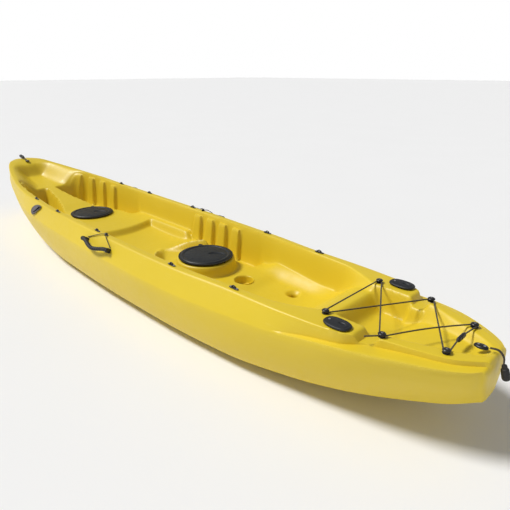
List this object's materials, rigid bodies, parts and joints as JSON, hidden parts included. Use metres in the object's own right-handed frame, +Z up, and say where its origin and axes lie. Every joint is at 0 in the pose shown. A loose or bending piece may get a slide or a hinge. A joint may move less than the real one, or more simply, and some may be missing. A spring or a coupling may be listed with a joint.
{
  "type": "kayak",
  "caption": "Tandem sit-on-top kayak with moulded seats and footwells, round hatches, covered rod holders, side carry handles, end toggles and stern bungee.",
  "frame": {"origin": "middle of the keel's flat strip, midway along the hull", "axes": "+X to the bow, +Y to port, +Z up"},
  "size_m": [3.7214, 0.785, 0.4537],
  "materials": {
    "hull_polyethylene": "satin rotomoulded yellow polyethylene",
    "black_nylon": "moulded black nylon",
    "hatch_lid_plastic": "fine-textured black plastic",
    "black_rubber": "moulded black rubber",
    "grey_rubber": "dark grey rubber",
    "elastic_cord": "braided black elastic cord"
  },
  "bodies": {
    "kayak_hull": {"hull_keel_pan": "hull_polyethylene", "hull_bow": "hull_polyethylene", "hull_front_footwells": "hull_polyethylene", "hull_front_hatch_deck": "hull_polyethylene", "hull_front_seat": "hull_polyethylene", "hull_front_seat_back": "hull_polyethylene", "hull_rear_hatch_deck": "hull_polyethylene", "hull_rear_seat": "hull_polyethylene", "hull_shoulders": "hull_polyethylene", "hull_stern": "hull_polyethylene", "hatch_collar_front": "black_nylon", "hatch_gasket_front": "black_rubber", "hatch_lug_front": "black_nylon", "hatch_collar_rear": "black_nylon", "hatch_gasket_rear": "black_rubber", "hatch_lug_rear": "black_nylon", "rod_holder_tube_port": "black_nylon", "side_cover_port": "grey_rubber", "strap_eye_port_1": "black_nylon", "strap_eye_port_2": "black_nylon", "strap_eye_port_3": "black_nylon", "strap_eye_port_4": "black_nylon", "strap_eye_port_5": "black_nylon", "bungee_button_port_1": "black_nylon", "bungee_button_port_2": "black_nylon", "bungee_button_port_3": "black_nylon", "handle_bracket_fwd_port": "black_nylon", "handle_bracket_aft_port": "black_nylon", "paddle_hook_port": "black_nylon", "paddle_bungee_port": "elastic_cord", "rod_holder_tube_starboard": "black_nylon", "side_cover_starboard": "grey_rubber", "strap_eye_starboard_1": "black_nylon", "strap_eye_starboard_2": "black_nylon", "strap_eye_starboard_3": "black_nylon", "strap_eye_starboard_4": "black_nylon", "strap_eye_starboard_5": "black_nylon", "bungee_button_starboard_1": "black_nylon", "bungee_button_starboard_2": "black_nylon", "bungee_button_starboard_3": "black_nylon", "handle_bracket_fwd_starboard": "black_nylon", "handle_bracket_aft_starboard": "black_nylon", "paddle_hook_starboard": "black_nylon", "paddle_bungee_starboard": "elastic_cord", "deck_bungee": "elastic_cord", "bungee_lock": "black_nylon", "toggle_base_bow": "black_nylon", "toggle_base_stern": "black_nylon"},
    "hatch_retainer_front": {"hatch_retainer_front": "black_rubber"},
    "hatch_lid_front": {"hatch_lid_front": "hatch_lid_plastic"},
    "hatch_retainer_rear": {"hatch_retainer_rear": "black_rubber"},
    "hatch_lid_rear": {"hatch_lid_rear": "hatch_lid_plastic"},
    "rod_holder_cap_port": {"rod_holder_cap_port": "black_rubber"},
    "carry_grip_port": {"carry_grip_port": "black_rubber"},
    "rod_holder_cap_starboard": {"rod_holder_cap_starboard": "black_rubber"},
    "carry_grip_starboard": {"carry_grip_starboard": "black_rubber"},
    "toggle_bow": {"toggle_cord_bow": "elastic_cord", "toggle_grip_bow": "black_rubber"},
    "toggle_stern": {"toggle_cord_stern": "elastic_cord", "toggle_grip_stern": "black_rubber"}
  },
  "joints": [
    {"name": "hatch_flip_front", "type": "hinge", "parent": "kayak_hull", "child": "hatch_retainer_front", "pos_m": [0.85291, -0.06854, 0.218], "axis": [0.4695, 0.8829, 0], "range_deg": [0, 110]},
    {"name": "hatch_twist_front", "type": "hinge", "parent": "hatch_retainer_front", "child": "hatch_lid_front", "pos_m": [0.724, 0, 0.207], "axis": [0, 0, 1], "range_deg": [0, 60]},
    {"name": "hatch_flip_rear", "type": "hinge", "parent": "kayak_hull", "child": "hatch_retainer_rear", "pos_m": [-0.32909, -0.06854, 0.254], "axis": [0.4695, 0.8829, 0], "range_deg": [0, 110]},
    {"name": "hatch_twist_rear", "type": "hinge", "parent": "hatch_retainer_rear", "child": "hatch_lid_rear", "pos_m": [-0.458, 0, 0.243], "axis": [0, 0, 1], "range_deg": [0, 60]},
    {"name": "rod_cap_flip_port", "type": "hinge", "parent": "kayak_hull", "child": "rod_holder_cap_port", "pos_m": [-1.3255, 0.204, 0.33779], "axis": [0, 1, 0], "range_deg": [0, 100]},
    {"name": "carry_grip_swing_port", "type": "hinge", "parent": "kayak_hull", "child": "carry_grip_port", "pos_m": [0.065, 0.36314, 0.29532], "axis": [1, 0.0072, 0.0016], "range_deg": [0, 120]},
    {"name": "rod_cap_flip_starboard", "type": "hinge", "parent": "kayak_hull", "child": "rod_holder_cap_starboard", "pos_m": [-1.3255, -0.204, 0.33779], "axis": [0, 1, 0], "range_deg": [0, 100]},
    {"name": "carry_grip_swing_starboard", "type": "hinge", "parent": "kayak_hull", "child": "carry_grip_starboard", "pos_m": [0.065, -0.36314, 0.29532], "axis": [-1, 0.0072, -0.0016], "range_deg": [0, 120]},
    {"name": "toggle_swing_bow", "type": "hinge", "parent": "kayak_hull", "child": "toggle_bow", "pos_m": [1.775, 0, 0.42544], "axis": [0, -1, 0], "range_deg": [0, 100]},
    {"name": "toggle_swing_stern", "type": "hinge", "parent": "kayak_hull", "child": "toggle_stern", "pos_m": [-1.762, 0, 0.33419], "axis": [0, 1, 0], "range_deg": [0, 110]}
  ]
}
